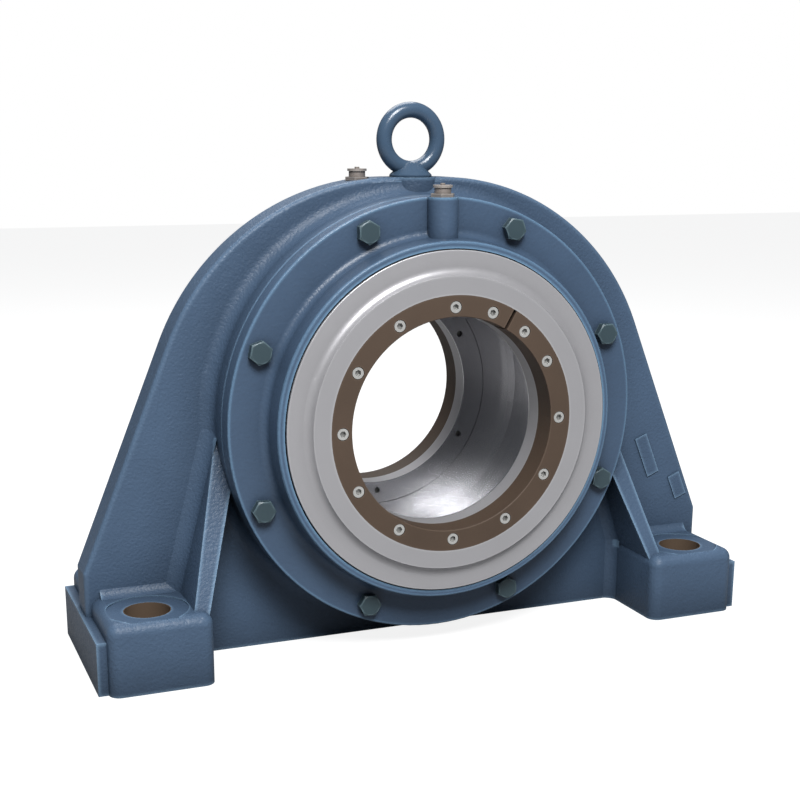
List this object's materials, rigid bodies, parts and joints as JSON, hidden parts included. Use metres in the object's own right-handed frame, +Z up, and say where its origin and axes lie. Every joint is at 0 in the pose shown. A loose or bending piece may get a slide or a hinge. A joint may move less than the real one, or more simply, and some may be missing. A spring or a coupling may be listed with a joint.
{
  "type": "pillow block housing",
  "caption": "One-piece cast pillow block housing with a wide four-hole base, bolted end covers, turning labyrinth seals round the shaft bore and a lifting eye.",
  "frame": {"origin": "on the ground, midway between the feet and midway through their depth", "axes": "+X along the feet, +Y along the shaft bore towards the rear, +Z up; the picture's front is -Y"},
  "size_m": [0.627, 0.23, 0.482],
  "materials": {
    "body_paint": "semi-gloss enamel over a fine cast texture",
    "cover_paint": "semi-gloss enamel over a fine cast texture",
    "bolt_paint": "semi-gloss, dark",
    "ring_steel": "turned, satin",
    "clamp_brown": "flat brown oxide",
    "screw_steel": "bright",
    "fitting_zinc": "dull zinc",
    "seal_rubber": "matt"
  },
  "bodies": {
    "housing": {"housing_body": "body_paint", "front_cover": "cover_paint", "rear_cover": "cover_paint", "front_cover_bolt_1": "bolt_paint", "front_cover_bolt_2": "bolt_paint", "front_cover_bolt_3": "bolt_paint", "front_cover_bolt_4": "bolt_paint", "front_cover_bolt_5": "bolt_paint", "front_cover_bolt_6": "bolt_paint", "front_cover_bolt_7": "bolt_paint", "front_cover_bolt_8": "bolt_paint", "rear_cover_bolt_1": "bolt_paint", "rear_cover_bolt_2": "bolt_paint", "rear_cover_bolt_3": "bolt_paint", "rear_cover_bolt_4": "bolt_paint", "rear_cover_bolt_5": "bolt_paint", "rear_cover_bolt_6": "bolt_paint", "rear_cover_bolt_7": "bolt_paint", "rear_cover_bolt_8": "bolt_paint", "lifting_eye": "bolt_paint", "body_grease_fitting": "fitting_zinc", "front_cover_grease_fitting": "fitting_zinc", "rear_cover_grease_fitting": "fitting_zinc", "front_cover_seal": "seal_rubber", "rear_cover_seal": "seal_rubber"},
    "front_seal_rotor": {"front_labyrinth_ring": "ring_steel", "front_clamp_ring": "clamp_brown", "front_clamp_screws": "screw_steel"},
    "rear_seal_rotor": {"rear_labyrinth_ring": "ring_steel", "rear_clamp_ring": "clamp_brown", "rear_clamp_screws": "screw_steel"}
  },
  "joints": [
    {"name": "front_seal_spin", "type": "hinge", "parent": "housing", "child": "front_seal_rotor", "pos_m": [0, 0.017, 0.21], "axis": [0, 1, 0], "continuous": true},
    {"name": "rear_seal_spin", "type": "hinge", "parent": "housing", "child": "rear_seal_rotor", "pos_m": [0, 0.017, 0.21], "axis": [0, 1, 0], "continuous": true}
  ]
}
